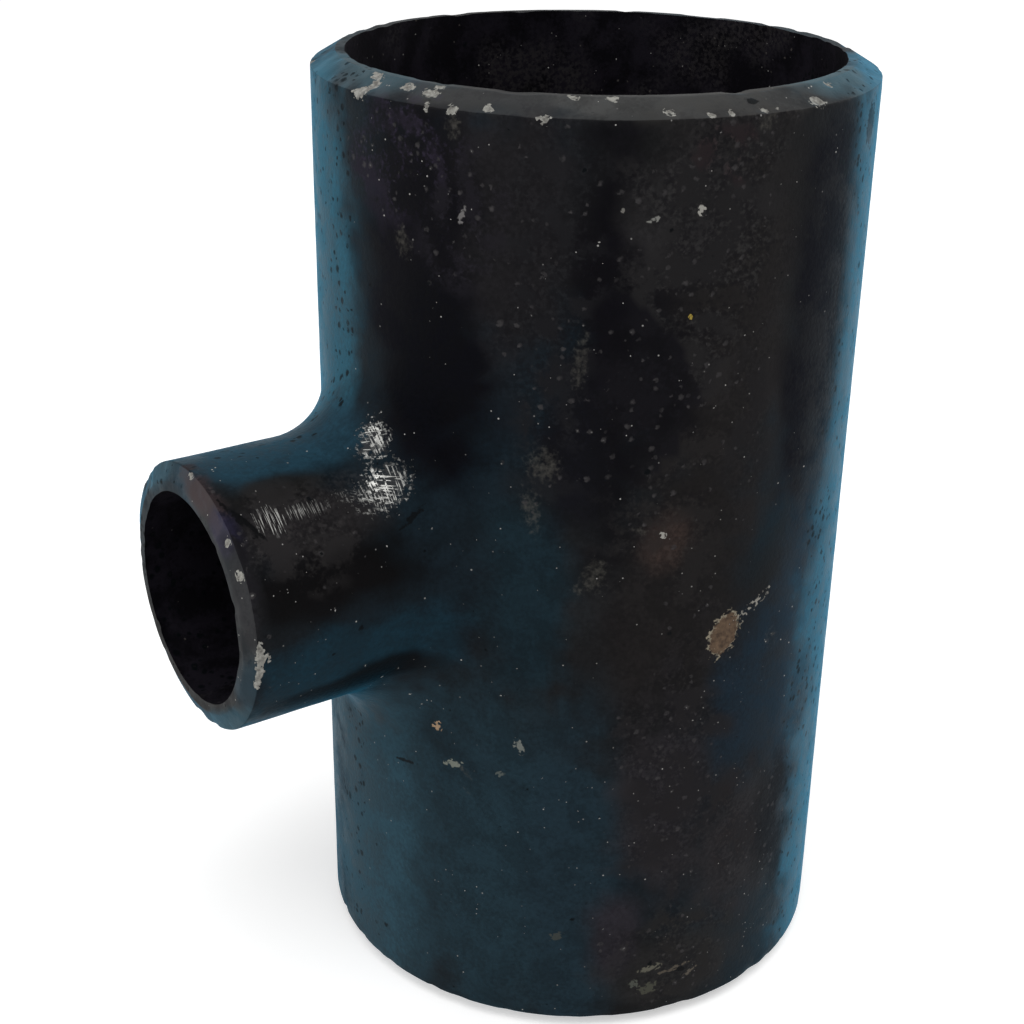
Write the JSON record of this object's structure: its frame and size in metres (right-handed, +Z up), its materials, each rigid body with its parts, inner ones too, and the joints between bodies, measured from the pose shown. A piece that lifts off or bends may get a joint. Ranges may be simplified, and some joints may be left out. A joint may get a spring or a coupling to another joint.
{
  "type": "reducing tee",
  "caption": "Black-painted butt-weld reducing tee: an upright run with a smaller square branch drawn out of its side, weld bevels on every end.",
  "frame": {"origin": "centre of the run's bore at its lower end, on the plane of the lower root face", "axes": "+Z up along the run, from the lower end to the upper end; the branch leaves along -X, and the part is the same on its +Y and -Y sides"},
  "size_m": [0.1184, 0.0888, 0.156],
  "materials": {
    "black_paint_on_steel": "thin semi-gloss black paint over forged carbon steel, blue-green sheen, scraped and chipped with a little rust and scale"
  },
  "bodies": {
    "root": {"tee_body": "black_paint_on_steel"}
  },
  "joints": []
}
